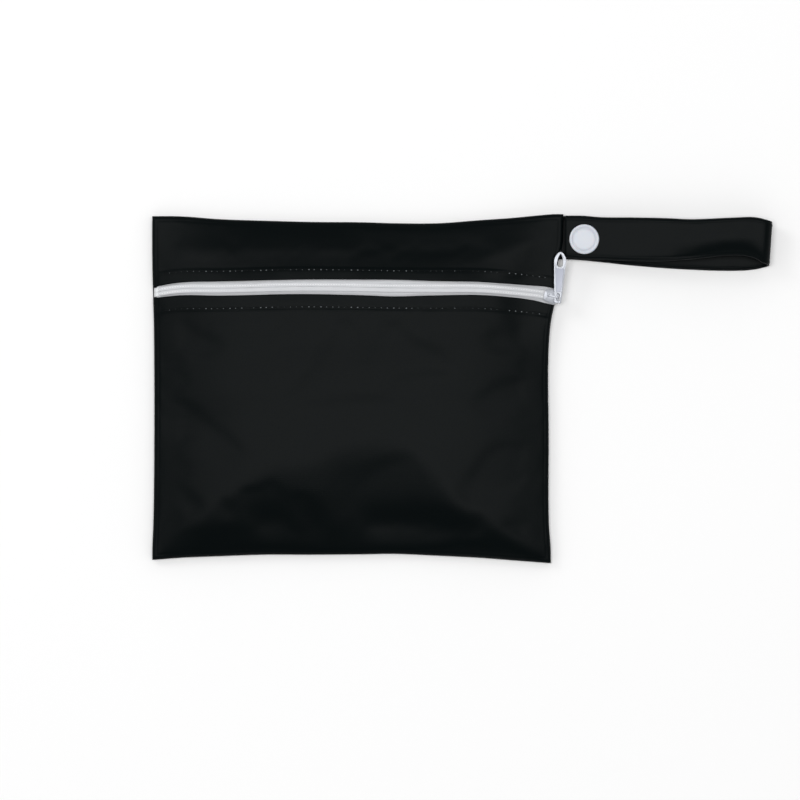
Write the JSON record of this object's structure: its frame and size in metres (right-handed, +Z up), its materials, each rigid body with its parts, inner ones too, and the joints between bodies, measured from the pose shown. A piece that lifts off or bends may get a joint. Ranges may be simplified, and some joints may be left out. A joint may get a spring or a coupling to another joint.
{
  "type": "small zipped wet bag with a carrying loop that snaps closed",
  "caption": "Small black zipped wet bag in laminated cloth, lying flat, with a pale coil zip across its front and a carrying loop that closes with a plastic snap.",
  "frame": {"origin": "middle of the flat back panel's underside, on the surface the bag lies on", "axes": "+X along the zip towards the carrying loop, +Y towards the top edge, +Z up out of the surface"},
  "size_m": [0.2868, 0.1616, 0.0116],
  "materials": {
    "cloth": "satin",
    "zip_tape": "matte",
    "zip_coil": "satin",
    "zip_metal": "gloss",
    "snap_plastic": "satin"
  },
  "bodies": {
    "bag": {"back_panel": "cloth", "front_lower_panel": "cloth", "front_upper_panel": "cloth", "carrying_strap": "cloth", "zip_tape_upper": "zip_tape", "zip_tape_lower": "zip_tape", "zip_chain": "zip_coil", "zip_slider": "zip_metal", "snap_upper_cap": "snap_plastic", "snap_lower_cap": "snap_plastic", "snap_stud": "snap_plastic", "snap_socket": "snap_plastic"},
    "puller": {"zip_puller": "zip_metal"}
  },
  "joints": [
    {"name": "puller_swivel", "type": "hinge", "parent": "bag", "child": "puller", "pos_m": [0.09458, 0.04175, 0.0073], "axis": [0, 0, 1], "range_deg": [-230, 40]}
  ]
}
